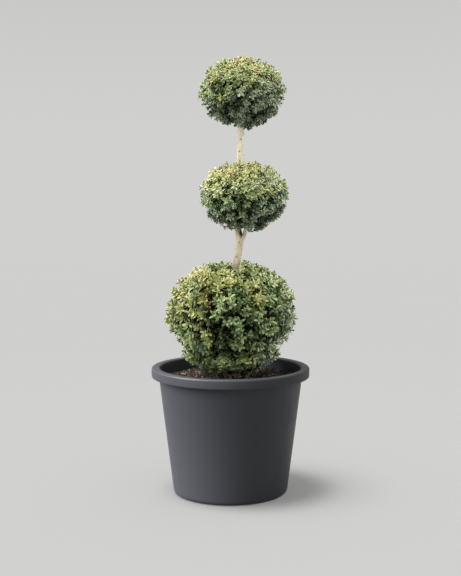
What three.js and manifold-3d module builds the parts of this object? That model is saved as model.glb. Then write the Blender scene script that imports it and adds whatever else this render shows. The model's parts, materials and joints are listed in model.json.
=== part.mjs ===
// A potted boxwood topiary: three clipped balls of foliage on one forked stem, in a plain pot of compost.
// Millimetres, +Z up. The origin is the centre of the pot's underside, and the front faces -Y.
import * as THREE from "three";
import { mergeVertices } from "three/addons/utils/BufferGeometryUtils.js";
import Module from "manifold-3d";

const wasm = await Module();
wasm.setup();

// Driving dimensions
const clearance = 0.3; // gap between neighbouring solids
const pot = {
  height: 322,
  rimRadius: 200, // outside of the rolled rim
  rimDepth: 24,
  rimTopRound: 7,
  rimFootRound: 3,
  mouthRadius: 178.5, // inner wall just under the rim
  mouthRound: 5,
  wallTopRadius: 181.5, // outer wall where it meets the rim
  baseRadius: 146,
  baseRound: 9,
  floor: 5,
  segments: 56,
};
const soil = { plateau: 296, plateauRadius: 105, edge: 291, lump: 2.2, segments: 48 };

// The stem's centre line and radius, from the compost to the middle of the top ball.
const trunkStations = [
  { x: 7, y: 4, z: soil.plateau, r: 12.5 },
  { x: 8, y: 4, z: 380, r: 11 },
  { x: 11, y: 1, z: 500, r: 10.1 },
  { x: 14.5, y: -1, z: 580, r: 9.5 },
  { x: 23.2, y: 0, z: 638, r: 9.1 },
  { x: 18.5, y: 3, z: 676, r: 8.7 },
  { x: 20.5, y: 3, z: 760, r: 8.7 },
  { x: 23.5, y: 1, z: 843, r: 8.6 },
  { x: 26, y: 0, z: 925, r: 8.3 },
  { x: 28, y: 0, z: 1000, r: 5.5 },
];
const rootFlare = { extra: 9, fade: 16 }; // radius added at the compost, and the height it fades over

// The side limb of the fork under the middle ball.
const boughStations = [
  { x: 26.2, y: -3, z: 634, r: 5.4 },
  { x: 33.8, y: -6, z: 654, r: 5.3 },
  { x: 38.8, y: -9, z: 672, r: 4.9 },
  { x: 44.5, y: -13, z: 702, r: 4.2 },
];

// Basal stems that rise from the compost round the foot of the lower ball.
const basalStems = {
  count: 6,
  footRadius: 42,
  lean: 16,
  rise: 42,
  radius: 4.2,
  tipRadius: 3,
  firstAngle: 0.35,
};

// Each ball's outline is an ellipsoid, with its own height below the middle. The lower ball is squarer there
// (a power over 2), and has a foot that narrows to the compost; the others draw in (a power under 2). A dip lies
// where the stem enters a ball: on its upper side (1) or its underside (-1).
const balls = {
  lower_ball: {
    centre: new THREE.Vector3(2, 0, 461),
    halfWidth: 171,
    upperHeight: 140,
    lowerHeight: 119,
    lowerPower: 2.5,
    foot: { topRadius: 136, top: 354, bottomRadius: 62, bottom: 303 },
    dip: { side: 1, x: 10, y: -28, halfWidth: 12, halfDepth: 46, drop: 25 },
    coreShare: 0.92,
    shoots: 88,
    leafLength: 36,
    seed: 11,
  },
  middle_ball: {
    centre: new THREE.Vector3(34, 0, 754),
    halfWidth: 117,
    upperHeight: 94,
    lowerHeight: 102,
    lowerPower: 1.85,
    dip: { side: -1, x: 12, y: 0, halfWidth: 26, halfDepth: 50, drop: 9 },
    coreShare: 0.91,
    shoots: 54,
    leafLength: 28,
    seed: 23,
  },
  upper_ball: {
    centre: new THREE.Vector3(28.5, 0, 1010),
    halfWidth: 116,
    upperHeight: 90,
    lowerHeight: 100,
    lowerPower: 1.75,
    dip: { side: -1, x: 10, y: 0, halfWidth: 26, halfDepth: 50, drop: 9 },
    coreShare: 0.91,
    shoots: 54,
    leafLength: 28,
    seed: 37,
  },
};
const outlineLump = 0.022; // unevenness of a clipped outline, as a share of its radius
const coreGrid = { around: 22, down: 13 };
const leafShape = { width: 0.58, widestAt: 0.56, roof: 0.07 };
const leafPairs = [
  { bend: 1.3, size: 0.9 },
  { bend: 1.5, size: 1.05 },
];
const twig = { rootRadius: 3.2, tipRadius: 2.4, hubRise: 1.2, sunk: 7 };
const limbMargin = 5; // a leaf stays this far from every limb

const finishes = {
  pot: { color: 0x3d3e42, roughness: 0.55 },
  soil: { color: 0x3a2c20, roughness: 0.95 },
  bark: { color: 0xc9bd9f, roughness: 0.8 },
  leaf: { color: 0x4c6030, roughness: 0.5 },
};

// Numbers from 0 to 1 that repeat for the same seed.
function seededRandom(seed) {
  let state = seed >>> 0;
  return () => {
    state = (state + 0x6d2b79f5) >>> 0;
    let t = Math.imul(state ^ (state >>> 15), 1 | state);
    t = (t + Math.imul(t ^ (t >>> 7), 61 | t)) ^ t;
    return ((t ^ (t >>> 14)) >>> 0) / 4294967296;
  };
}

// Solids and meshes
function solidOf(geometry) {
  const bare = geometry.clone();
  bare.deleteAttribute("normal");
  bare.deleteAttribute("uv");
  const merged = mergeVertices(bare, 1e-4);
  return new wasm.Manifold(
    new wasm.Mesh({
      numProp: 3,
      vertProperties: new Float32Array(merged.attributes.position.array),
      triVerts: new Uint32Array(merged.index.array),
    }),
  );
}

function geometryOf(solid) {
  const mesh = solid.getMesh();
  return new THREE.BufferGeometry()
    .setAttribute("position", new THREE.BufferAttribute(mesh.vertProperties, mesh.numProp))
    .setIndex(new THREE.BufferAttribute(mesh.triVerts, 1));
}

function named(name, geometry, finish) {
  const shaded = geometry.toNonIndexed();
  shaded.computeVertexNormals();
  const mesh = new THREE.Mesh(shaded, new THREE.MeshStandardMaterial({ ...finish, metalness: 0 }));
  mesh.name = name;
  return mesh;
}

// Round corner of a profile, as points from one angle to another, in radians.
function corner(x, y, radius, from, to, steps = 3) {
  return Array.from({ length: steps + 1 }, (_, i) => {
    const angle = from + ((to - from) * i) / steps;
    return new THREE.Vector2(x + radius * Math.cos(angle), y + radius * Math.sin(angle));
  });
}

// A profile of radius and height turned about the upright axis.
function turned(profile, segments) {
  return new THREE.LatheGeometry(profile, segments).rotateX(Math.PI / 2);
}

// Inner wall of the pot at a height: a straight taper that follows the outer one.
function innerRadius(z) {
  const taper = (pot.wallTopRadius - pot.baseRadius) / (pot.height - pot.rimDepth);
  return pot.mouthRadius - taper * (pot.height - pot.rimDepth - z);
}

function potGeometry() {
  const rimFoot = pot.height - pot.rimDepth;
  const { PI } = Math;
  const profile = [
    new THREE.Vector2(0, 0),
    ...corner(pot.baseRadius - pot.baseRound, pot.baseRound, pot.baseRound, -PI / 2, 0),
    new THREE.Vector2(pot.wallTopRadius, rimFoot),
    ...corner(pot.rimRadius - pot.rimFootRound, rimFoot + pot.rimFootRound, pot.rimFootRound, -PI / 2, 0, 2),
    ...corner(pot.rimRadius - pot.rimTopRound, pot.height - pot.rimTopRound, pot.rimTopRound, 0, PI / 2),
    ...corner(pot.mouthRadius + pot.mouthRound, pot.height - pot.mouthRound, pot.mouthRound, PI / 2, PI),
    new THREE.Vector2(innerRadius(rimFoot), rimFoot),
    new THREE.Vector2(innerRadius(pot.floor), pot.floor),
    new THREE.Vector2(0, pot.floor),
  ];
  return turned(profile, pot.segments);
}

// Compost that fills the pot: level where the stems stand, with a lumpy slope out to the wall.
function soilGeometry() {
  const rings = 4;
  const wallGap = (z) => innerRadius(z) - clearance;
  const slope = Array.from({ length: rings }, (_, i) => {
    const share = i / rings;
    return new THREE.Vector2(
      THREE.MathUtils.lerp(wallGap(soil.edge), soil.plateauRadius, share),
      THREE.MathUtils.lerp(soil.edge, soil.plateau, share),
    );
  });
  const profile = [
    new THREE.Vector2(0, pot.floor),
    new THREE.Vector2(wallGap(pot.floor), pot.floor),
    ...slope,
    new THREE.Vector2(soil.plateauRadius, soil.plateau),
    new THREE.Vector2(0, soil.plateau),
  ];
  const geometry = turned(profile, soil.segments);
  const place = geometry.attributes.position;
  for (let i = 0; i < place.count; i++) {
    const radius = Math.hypot(place.getX(i), place.getY(i));
    const onSlope = place.getZ(i) > soil.edge + 0.1 && radius > soil.plateauRadius + 0.1;
    if (!onSlope) continue;
    const lump = Math.sin(place.getX(i) * 0.19) * Math.cos(place.getY(i) * 0.23);
    place.setZ(i, place.getZ(i) + soil.lump * lump);
  }
  return geometry;
}

// A tapering limb through stations of centre and radius, with level ends.
class Limb {
  constructor(stations, flare = { extra: 0, fade: 1 }) {
    this.stations = stations;
    this.flare = flare;
    this.path = new THREE.CatmullRomCurve3(stations.map((s) => new THREE.Vector3(s.x, s.y, s.z)));
    this.foot = stations[0].z;
    this.tip = stations.at(-1).z;
  }

  ring(t) {
    const place = this.path.getPoint(t);
    const spot = t * (this.stations.length - 1);
    const first = Math.min(Math.floor(spot), this.stations.length - 2);
    const radius = THREE.MathUtils.lerp(this.stations[first].r, this.stations[first + 1].r, spot - first);
    return { place, radius: radius + this.flare.extra * Math.exp((this.foot - place.z) / this.flare.fade) };
  }

  // A skin of level rings, grown outwards all round by a gap.
  geometry(sides, steps, gap = 0) {
    const points = [];
    for (let i = 0; i <= steps; i++) {
      const { place, radius } = this.ring(i / steps);
      const z = place.z + (i === 0 ? -gap : i === steps ? gap : 0);
      for (let k = 0; k < sides; k++) {
        const angle = (2 * Math.PI * k) / sides;
        const reach = radius + gap * 1.5;
        points.push(place.x + reach * Math.cos(angle), place.y + reach * Math.sin(angle), z);
      }
    }
    const faces = [];
    for (let k = 0; k < sides; k++) {
      const next = (k + 1) % sides;
      for (let i = 0; i < steps; i++) {
        const low = i * sides;
        const high = low + sides;
        faces.push(low + k, low + next, high + next, low + k, high + next, high + k);
      }
      const last = steps * sides;
      if (k > 0 && next > 0) faces.push(0, next, k, last, last + k, last + next);
    }
    return new THREE.BufferGeometry()
      .setAttribute("position", new THREE.Float32BufferAttribute(points, 3))
      .setIndex(faces);
  }

  // Whether a point is nearer to the limb than a margin.
  isNear(point, margin) {
    if (point.z < this.foot - margin || point.z > this.tip + margin) return false;
    const t = this.shareAt(point.z);
    const { place, radius } = this.ring(t);
    return Math.hypot(point.x - place.x, point.y - place.y) < radius + margin;
  }

  shareAt(z) {
    let low = 0;
    let high = 1;
    for (let i = 0; i < 20; i++) {
      const middle = (low + high) / 2;
      if (this.path.getPoint(middle).z < z) low = middle;
      else high = middle;
    }
    return low;
  }
}

function basalStem(index) {
  const angle = basalStems.firstAngle + (2 * Math.PI * index) / basalStems.count;
  const at = (radius, z, r) => ({
    x: trunkStations[0].x + radius * Math.cos(angle),
    y: trunkStations[0].y + radius * Math.sin(angle),
    z: soil.plateau + z,
    r,
  });
  const middleRadius = (basalStems.radius + basalStems.tipRadius) / 2;
  return new Limb([
    at(basalStems.footRadius, 0, basalStems.radius),
    at(basalStems.footRadius + basalStems.lean / 3, basalStems.rise / 2, middleRadius),
    at(basalStems.footRadius + basalStems.lean, basalStems.rise, basalStems.tipRadius),
  ]);
}

// How far a ball's clipped outline lies from its centre, along a unit direction.
function outlineReach(ball, way) {
  const across = Math.hypot(way.x, way.y);
  const height = way.z < 0 ? ball.lowerHeight : ball.upperHeight;
  const power = way.z < 0 ? ball.lowerPower : 2;
  let reach = ((across / ball.halfWidth) ** power + (Math.abs(way.z) / height) ** power) ** (-1 / power);
  if (ball.foot && way.z < 0) reach = Math.max(reach, footReach(ball, across, -way.z));
  const uneven = Math.sin(4.1 * way.x + ball.seed) + Math.sin(4.7 * way.y - 2.3 * way.z + 2 * ball.seed);
  reach *= 1 + (outlineLump * uneven) / 2;
  if (way.z * ball.dip.side < 0) return reach;
  const dx = (ball.centre.x + way.x * reach - ball.dip.x) / ball.dip.halfWidth;
  const dy = (ball.centre.y + way.y * reach - ball.dip.y) / ball.dip.halfDepth;
  return reach - ball.dip.drop * Math.exp(-dx * dx - dy * dy);
}

// The same for the cone-shaped foot of the lower ball, or 0 where it isn't met.
function footReach(ball, across, down) {
  const { top, topRadius, bottom, bottomRadius } = ball.foot;
  const slope = (topRadius - bottomRadius) / (top - bottom);
  const height = ball.centre.z - bottom;
  const side = (bottomRadius + slope * height) / (across + slope * down);
  if (side * down < ball.centre.z - top) return 0;
  return Math.min(side, height / down);
}

function isInside(ball, point) {
  const way = point.clone().sub(ball.centre);
  const distance = way.length();
  return distance <= outlineReach(ball, way.divideScalar(distance));
}

// Core of a ball: its outline drawn in to a share of its size.
function coreGeometry(ball) {
  const geometry = new THREE.SphereGeometry(1, coreGrid.around, coreGrid.down).rotateX(Math.PI / 2);
  const place = geometry.attributes.position;
  const way = new THREE.Vector3();
  for (let i = 0; i < place.count; i++) {
    way.fromBufferAttribute(place, i).normalize();
    const reach = outlineReach(ball, way) * ball.coreShare;
    place.setXYZ(i, ...way.multiplyScalar(reach).add(ball.centre).toArray());
  }
  return geometry;
}

// A direction that leans away from an axis by an angle, on the side given by a turn about that axis.
function leaning(axis, angle, turn) {
  const side = new THREE.Vector3(-axis.y, axis.x, 0);
  if (side.lengthSq() < 1e-6) side.set(1, 0, 0);
  side.normalize().applyAxisAngle(axis, turn);
  return axis.clone().applyAxisAngle(side, angle);
}

// Tip and widest points of a leaf that bends away from a twig along +Z, its edges turned down.
function leafPoints({ turn, bend, length }) {
  const out = new THREE.Vector3(Math.cos(turn), Math.sin(turn), 0);
  const along = new THREE.Vector3(-out.y, out.x, 0);
  const way = out.clone().multiplyScalar(Math.sin(bend)).setZ(Math.cos(bend));
  const under = out.multiplyScalar(Math.cos(bend)).setZ(-Math.sin(bend));
  const middle = way.clone().multiplyScalar(length * leafShape.widestAt);
  middle.addScaledVector(under, length * leafShape.roof);
  const half = (length * leafShape.width) / 2;
  return [
    middle.clone().addScaledVector(along, -half),
    way.multiplyScalar(length),
    middle.addScaledVector(along, half),
  ];
}

// A leafy shoot as one closed skin: a twig that rises along +Z to a hub at the origin, with leaves round the
// hub. Each leaf grows from the twig between two notches of the hub.
function shootGeometry(leaves, length) {
  const count = leaves.length;
  const ringPoint = (i, radius, z) => {
    const turn = leaves[0].turn + (2 * Math.PI * (i + 0.5)) / count;
    return [radius * Math.cos(turn), radius * Math.sin(turn), z];
  };
  const points = [0, 0, twig.hubRise];
  for (let i = 0; i < count; i++) points.push(...ringPoint(i, twig.tipRadius, -twig.hubRise));
  for (let i = 0; i < count; i++) points.push(...ringPoint(i, twig.rootRadius, -length));
  const faces = [];
  leaves.forEach((leaf, i) => {
    const before = 1 + ((i + count - 1) % count);
    const after = 1 + i;
    faces.push(before + count, after + count, after, before + count, after, before);
    if (i > 1) faces.push(1 + count, 1 + count + i, count + i);
    if (!leaf.kept) {
      faces.push(0, before, after);
      return;
    }
    const low = points.length / 3;
    const tip = low + 1;
    const high = low + 2;
    for (const point of leafPoints(leaf)) points.push(...point.toArray());
    faces.push(0, before, low, 0, low, tip, 0, tip, high, 0, high, after);
    faces.push(high, tip, low, after, high, low, after, low, before);
  });
  return new THREE.BufferGeometry()
    .setAttribute("position", new THREE.Float32BufferAttribute(points, 3))
    .setIndex(faces);
}

// One shoot out of a ball's core: two opposite pairs of leaves, the older pair longer and lower. A leaf that
// would leave the outline or come near a limb is skipped.
function shootOn(ball, way, random, isFree) {
  const outline = outlineReach(ball, way);
  const axis = leaning(way, 0.25 * random(), 2 * Math.PI * random());
  const hubGap = ball.leafLength * Math.cos(leafPairs[0].bend - 0.12) - 2 + 3 * random();
  const hub = way.clone().multiplyScalar(outline - hubGap).add(ball.centre);
  const length = outline * (1 - ball.coreShare) - hubGap + twig.sunk;
  const root = hub.clone().addScaledVector(axis, -length);
  if (!isFree(hub) || !isFree(root)) return null;
  const turn = new THREE.Quaternion().setFromUnitVectors(new THREE.Vector3(0, 0, 1), axis);
  const place = new THREE.Matrix4().compose(hub, turn, new THREE.Vector3(1, 1, 1));
  const firstTurn = 2 * Math.PI * random();
  const leaves = [0, 1, 2, 3].map((i) => {
    const pair = leafPairs[i % 2];
    const leaf = {
      turn: firstTurn + (i * Math.PI) / 2,
      bend: pair.bend - 0.25 * random(),
      length: ball.leafLength * pair.size * (0.85 + 0.25 * random()),
    };
    const corners = leafPoints(leaf).map((point) => point.applyMatrix4(place));
    return { ...leaf, kept: corners.every((point) => isInside(ball, point) && isFree(point)) };
  });
  return solidOf(shootGeometry(leaves, length).applyMatrix4(place));
}

// A clipped ball: its core cut clear of the limbs, with leafy shoots spread evenly over it and fused on.
function ballGeometry(ball, limbs) {
  const random = seededRandom(ball.seed);
  const isFree = (point) => !limbs.some((limb) => limb.isNear(point, limbMargin));
  const goldenTurn = Math.PI * (3 - Math.sqrt(5));
  let solid = solidOf(coreGeometry(ball));
  for (const limb of limbs) solid = solid.subtract(solidOf(limb.geometry(limbSides, limbSteps, clearance)));
  for (let i = 0; i < ball.shoots; i++) {
    const up = 1 - (2 * (i + 0.5)) / ball.shoots;
    const across = Math.sqrt(1 - up * up);
    const turn = goldenTurn * i;
    const way = new THREE.Vector3(across * Math.cos(turn), across * Math.sin(turn), up);
    const shoot = shootOn(ball, way, random, isFree);
    if (shoot) solid = solid.add(shoot);
  }
  // Keeps the one large body, so that sealed hollows are filled and loose scraps dropped.
  const bodies = solid.decompose().sort((a, b) => b.volume() - a.volume());
  return geometryOf(bodies[0]);
}

// The assembly
const limbSides = 10;
const limbSteps = 34;
const boughSteps = 8;
const trunk = new Limb(trunkStations, rootFlare);
const forkBough = new Limb(boughStations);
const stems = Array.from({ length: basalStems.count }, (_, i) => basalStem(i));

const plant = new THREE.Group();
plant.add(named("pot", potGeometry(), finishes.pot));
plant.add(named("soil", soilGeometry(), finishes.soil));
plant.add(named("trunk", trunk.geometry(limbSides, limbSteps), finishes.bark));

const trunkSpace = solidOf(trunk.geometry(limbSides, limbSteps, clearance));
const boughSolid = solidOf(forkBough.geometry(limbSides, boughSteps)).subtract(trunkSpace);
plant.add(named("fork_bough", geometryOf(boughSolid.decompose().at(-1)), finishes.bark));
stems.forEach((stem, i) => plant.add(named(`basal_stem_${i + 1}`, stem.geometry(6, 5), finishes.bark)));

for (const [name, ball] of Object.entries(balls)) {
  plant.add(named(name, ballGeometry(ball, [trunk, forkBough, ...stems]), finishes.leaf));
}

export default plant;
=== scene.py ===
import itertools
import json
import math
import bpy
import numpy as np
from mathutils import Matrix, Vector

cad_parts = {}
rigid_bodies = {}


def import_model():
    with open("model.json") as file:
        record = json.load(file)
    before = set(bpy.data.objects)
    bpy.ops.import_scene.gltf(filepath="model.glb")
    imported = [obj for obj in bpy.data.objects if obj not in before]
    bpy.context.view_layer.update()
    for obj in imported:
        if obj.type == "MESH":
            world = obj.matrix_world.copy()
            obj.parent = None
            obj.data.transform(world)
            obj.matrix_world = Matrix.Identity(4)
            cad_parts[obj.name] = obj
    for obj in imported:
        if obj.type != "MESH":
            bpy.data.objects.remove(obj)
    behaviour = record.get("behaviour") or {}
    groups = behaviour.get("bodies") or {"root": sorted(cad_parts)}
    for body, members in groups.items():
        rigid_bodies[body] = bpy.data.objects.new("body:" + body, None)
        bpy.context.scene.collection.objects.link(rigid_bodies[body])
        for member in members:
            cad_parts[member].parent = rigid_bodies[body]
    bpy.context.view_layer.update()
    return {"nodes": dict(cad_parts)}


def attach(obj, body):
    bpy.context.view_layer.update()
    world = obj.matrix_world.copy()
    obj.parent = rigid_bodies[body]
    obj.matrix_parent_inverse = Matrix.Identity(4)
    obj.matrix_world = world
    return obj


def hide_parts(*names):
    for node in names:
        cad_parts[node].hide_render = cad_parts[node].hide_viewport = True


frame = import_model()
print("frame loaded:", sorted(frame["nodes"]))

quarter = math.pi / 2
fullTurn = 2 * math.pi
axisGap = 1e-4  # a turned profile ends this near its axis
noiseMiddle = (0.3, 0.7)  # most of a noise lies between these


# shared helpers: numbers and meshes
def srgb(r, g, b):
    return tuple(((c / 255 + 0.055) / 1.055) ** 2.4 if c > 10 else c / 255 / 12.92 for c in (r, g, b))


def unit(v):
    return v / np.maximum(np.linalg.norm(v, axis=-1, keepdims=True), 1e-12)


def ringAngles(count):
    return np.linspace(0, fullTurn, count, endpoint=False)


def ringQuads(rings, around):
    # faces between closed rings of points, listed ring by ring
    i, k = np.meshgrid(np.arange(rings - 1), np.arange(around), indexing="ij")
    a, b = i * around + k, i * around + (k + 1) % around
    return np.stack([a, b, b + around, a + around], -1).reshape(-1, 4)


def joined(meshes):
    points, faces, start = [], [], 0
    for p, f in meshes:
        points.append(p)
        faces.append(f + start)
        start += len(p)
    return np.vstack(points), np.vstack(faces)


def meshPiece(name, points, faces, materials, slots=None, smooth=True):
    mesh = bpy.data.meshes.new(name)
    faces = np.asarray(faces, np.int32)
    mesh.vertices.add(len(points))
    mesh.vertices.foreach_set("co", np.asarray(points, np.float32).ravel())
    mesh.loops.add(faces.size)
    mesh.loops.foreach_set("vertex_index", faces.ravel())
    mesh.polygons.add(len(faces))
    mesh.polygons.foreach_set("loop_start", np.arange(0, faces.size, faces.shape[1], dtype=np.int32))
    for material in materials:
        mesh.materials.append(material)
    if slots is not None:
        mesh.polygons.foreach_set("material_index", np.asarray(slots, np.int32))
    mesh.polygons.foreach_set("use_smooth", np.full(len(faces), smooth))
    mesh.update(calc_edges=True)
    mesh.validate()
    piece = bpy.data.objects.new(name, mesh)
    bpy.context.scene.collection.objects.link(piece)
    return piece


def fitTo(piece, slot, *nodes):
    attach(piece, "root")
    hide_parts(*nodes)
    print("piece", piece.name, len(piece.data.polygons), "faces")


# shared helpers: materials
def newMaterial(name, color, roughness, specular):
    material = bpy.data.materials.new(name)
    material.use_nodes = True
    shader = material.node_tree.nodes["Principled BSDF"]
    shader.inputs["Base Color"].default_value = (*color, 1)
    shader.inputs["Roughness"].default_value = roughness
    shader.inputs["Specular IOR Level"].default_value = specular
    return material, material.node_tree, shader


def addNode(tree, kind, **values):
    node = tree.nodes.new(kind)
    for key, value in values.items():
        if key in node.inputs:
            node.inputs[key].default_value = value
        else:
            setattr(node, key, value)
    return node


def objectPlace(tree):
    return tree.nodes.new("ShaderNodeTexCoord").outputs["Object"]


def heightOf(tree, place):
    split = tree.nodes.new("ShaderNodeSeparateXYZ")
    tree.links.new(place, split.inputs["Vector"])
    return split.outputs["Z"]


def distanceTo(tree, place, spot):
    far = addNode(tree, "ShaderNodeVectorMath", operation="DISTANCE")
    tree.links.new(place, far.inputs[0])
    far.inputs[1].default_value = spot
    return far.outputs["Value"]


def addNoise(tree, place, scale, detail, roughness=0.5):
    noise = addNode(tree, "ShaderNodeTexNoise", Scale=scale, Detail=detail, Roughness=roughness)
    tree.links.new(place, noise.inputs["Vector"])
    return noise.outputs["Fac"]


def addRange(tree, source, start, end, low=0.0, high=1.0, curve="LINEAR"):
    spread = addNode(tree, "ShaderNodeMapRange", interpolation_type=curve, **{
        "From Min": start, "From Max": end, "To Min": low, "To Max": high})
    tree.links.new(source, spread.inputs["Value"])
    return spread.outputs["Result"]


def addRamp(tree, source, stops):
    ramp = tree.nodes.new("ShaderNodeValToRGB")
    while len(ramp.color_ramp.elements) < len(stops):
        ramp.color_ramp.elements.new(0.5)
    for element, (at, color) in zip(ramp.color_ramp.elements, stops):
        element.position = at
        element.color = (*color, 1)
    tree.links.new(source, ramp.inputs["Fac"])
    return ramp.outputs["Color"]


def mixColors(tree, share, first, second, blend="MIX"):
    mix = addNode(tree, "ShaderNodeMix", data_type="RGBA", blend_type=blend)
    for k, value in ((0, share), (6, first), (7, second)):
        if isinstance(value, bpy.types.NodeSocket):
            tree.links.new(value, mix.inputs[k])
        else:
            mix.inputs[k].default_value = value
    return mix.outputs[2]


def addBump(tree, shader, height, strength, distance):
    bump = addNode(tree, "ShaderNodeBump", Strength=strength, Distance=distance)
    tree.links.new(height, bump.inputs["Height"])
    tree.links.new(bump.outputs["Normal"], shader.inputs["Normal"])


def grainMaterial(name, color, specular, finish):
    # one colour with fine relief and uneven gloss, for small pieces
    material, tree, shader = newMaterial(name, color, finish["roughness"][1], specular)
    grain = addNoise(tree, objectPlace(tree), finish["scale"], 3.0)
    tree.links.new(addRange(tree, grain, *noiseMiddle, *finish["roughness"]), shader.inputs["Roughness"])
    addBump(tree, shader, grain, finish["strength"], finish["depth"])
    return material


# the pot: a turned profile with a rolled rim
pot = {
    "height": 0.322, "rimRadius": 0.2, "rimDepth": 0.024, "rimTopRound": 0.005, "rimFootRound": 0.003,
    "mouthRadius": 0.1785, "mouthRound": 0.005, "wallTopRadius": 0.1815, "baseRadius": 0.146,
    "baseRound": 0.012, "floor": 0.005,
    "fillet": (0.0003, 0.0025, 0.0012),  # below the rim: inset, drop, reach
    "segments": 160, "arcSteps": 8, "rimFootSteps": 5, "sharpAngle": 35,
    "color": srgb(41, 42, 46), "specular": 0.29, "roughness": (0.44, 0.56),
    "scuffScale": 14.0, "grainScale": 420.0, "grainStrength": 0.12, "grainDepth": 0.0004,
}
rimFoot = pot["height"] - pot["rimDepth"]


def corner(x, z, radius, start, steps=pot["arcSteps"]):
    angles = np.linspace(start, start + quarter, steps + 1)
    return [(x + radius * math.cos(a), z + radius * math.sin(a)) for a in angles]


def potInner(z):
    taper = (pot["wallTopRadius"] - pot["baseRadius"]) / rimFoot
    return pot["mouthRadius"] - taper * (rimFoot - z)


def potProfile():
    # from the middle of the underside up the wall, over the rim and down inside
    rounds = ("baseRound", "rimFootRound", "rimTopRound", "mouthRound")
    base, under, over, mouth = (pot[key] for key in rounds)
    wall, rim, top, floor = pot["wallTopRadius"], pot["rimRadius"], pot["height"], pot["floor"]
    inset, drop, reach = pot["fillet"]
    return np.array([
        (axisGap, 0.0),
        *corner(pot["baseRadius"] - base, base, base, -quarter),
        (wall - inset, rimFoot - drop), (wall + reach, rimFoot),
        *corner(rim - under, rimFoot + under, under, -quarter, pot["rimFootSteps"]),
        *corner(rim - over, top - over, over, 0),
        *corner(pot["mouthRadius"] + mouth, top - mouth, mouth, quarter),
        (potInner(rimFoot), rimFoot), (potInner(floor), floor), (axisGap, floor)])


def turned(name, profile, segments, material):
    turns = ringAngles(segments)
    rings = np.stack([
        np.outer(profile[:, 0], np.cos(turns)), np.outer(profile[:, 0], np.sin(turns)),
        np.repeat(profile[:, 1:], segments, 1)], -1)
    piece = meshPiece(name, rings.reshape(-1, 3), ringQuads(len(profile), segments), [material])
    piece.data.set_sharp_from_angle(angle=math.radians(pot["sharpAngle"]))
    return piece


def potMaterial():
    material, tree, shader = newMaterial("potPlastic", pot["color"], pot["roughness"][1], pot["specular"])
    place = objectPlace(tree)
    grain = addNoise(tree, place, pot["grainScale"], 4.0)
    scuff = addNoise(tree, place, pot["scuffScale"], 5.0, 0.65)
    tree.links.new(addRange(tree, scuff, *noiseMiddle, *pot["roughness"]), shader.inputs["Roughness"])
    addBump(tree, shader, grain, pot["grainStrength"], pot["grainDepth"])
    return material


fitTo(turned("pot_shell", potProfile(), pot["segments"], potMaterial()), "pot", "pot")


# the limbs: a centre line through stations (x, y, z, radius), with level rings and bark relief
soilTop = 0.296
trunk = {
    "stations": np.array([
        (0.007, 0.004, soilTop, 0.0125), (0.008, 0.004, 0.38, 0.011), (0.011, 0.001, 0.5, 0.0101),
        (0.0145, -0.001, 0.58, 0.0095), (0.0232, 0.0, 0.638, 0.0091), (0.0185, 0.003, 0.676, 0.0087),
        (0.0205, 0.003, 0.76, 0.0087), (0.0235, 0.001, 0.843, 0.0086), (0.026, 0.0, 0.925, 0.0083),
        (0.028, 0.0, 1.0, 0.0055)]),
    "steps": 360, "sides": 36, "seed": 0.4, "rootFlare": 0.009, "flareFade": 0.016,
}
forkBough = {
    "stations": np.array([
        (0.0262, -0.003, 0.634, 0.0054), (0.0338, -0.006, 0.654, 0.0053), (0.0388, -0.009, 0.672, 0.0049),
        (0.0445, -0.013, 0.702, 0.0042)]),
    "steps": 40, "sides": 20, "seed": 1.7,
}
basalStems = {
    "count": 6, "footRadius": 0.042, "lean": 0.016, "rise": 0.042, "radius": 0.0042, "tipRadius": 0.003,
    "firstAngle": 0.35, "steps": 24, "sides": 14, "pale": srgb(150, 136, 110), "tan": srgb(112, 98, 76),
}
bark = {
    "flute": 0.05, "ridge": 0.035, "bead": 0.06, "sink": 0.05,  # relief as shares of the radius
    "beadEvery": 0.027, "beadHalf": 0.0032, "beadSway": 0.004,
    "pale": srgb(218, 211, 189), "tan": srgb(190, 177, 149), "scar": srgb(126, 110, 86),
    "roughness": 0.78, "specular": 0.3, "lighten": 1.15,
    "stretch": (1, 1, 0.22), "streakScale": 260.0, "streakStops": (0.32, 0.5, 0.72),
    "streakStrength": 0.5, "streakDepth": 0.0012, "fleckScale": 95.0, "fleckStops": (0.62, 0.72),
    "age": [(0.6, (0.8, 0.735, 0.685)), (0.8, (1, 1, 1))],  # older and browner lower down
    # painted shade darkens the bark close to the crotch, where the limbs part
    "crotch": (0.0285, -0.004, 0.6605), "crotchShadeReach": (0.0039, 0.013), "crotchShade": srgb(64, 50, 36),
}
knots = {
    "every": 0.0146, "halfWidth": 0.0025, "halfHeight": 0.0024, "rise": 0.0006, "sideShare": 0.6,
    "rings": [(1.0, -1.0), (0.85, 0.5), (0.6, 1.0), (0.35, 0.6), (0.02, 0.3)],  # shares of width and rise
    "turnSpread": 0.22, "shiftShare": 6, "widths": (0.7, 1.2), "heights": (0.7, 1.3), "sides": 12, "seed": 3,
    "old": srgb(168, 150, 120), "young": srgb(126, 112, 86), "change": (0.66, 0.8),  # heights between them
    "specular": 0.2, "finish": {"scale": 900.0, "strength": 0.5, "depth": 0.0008, "roughness": (0.75, 0.95)},
}


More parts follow.
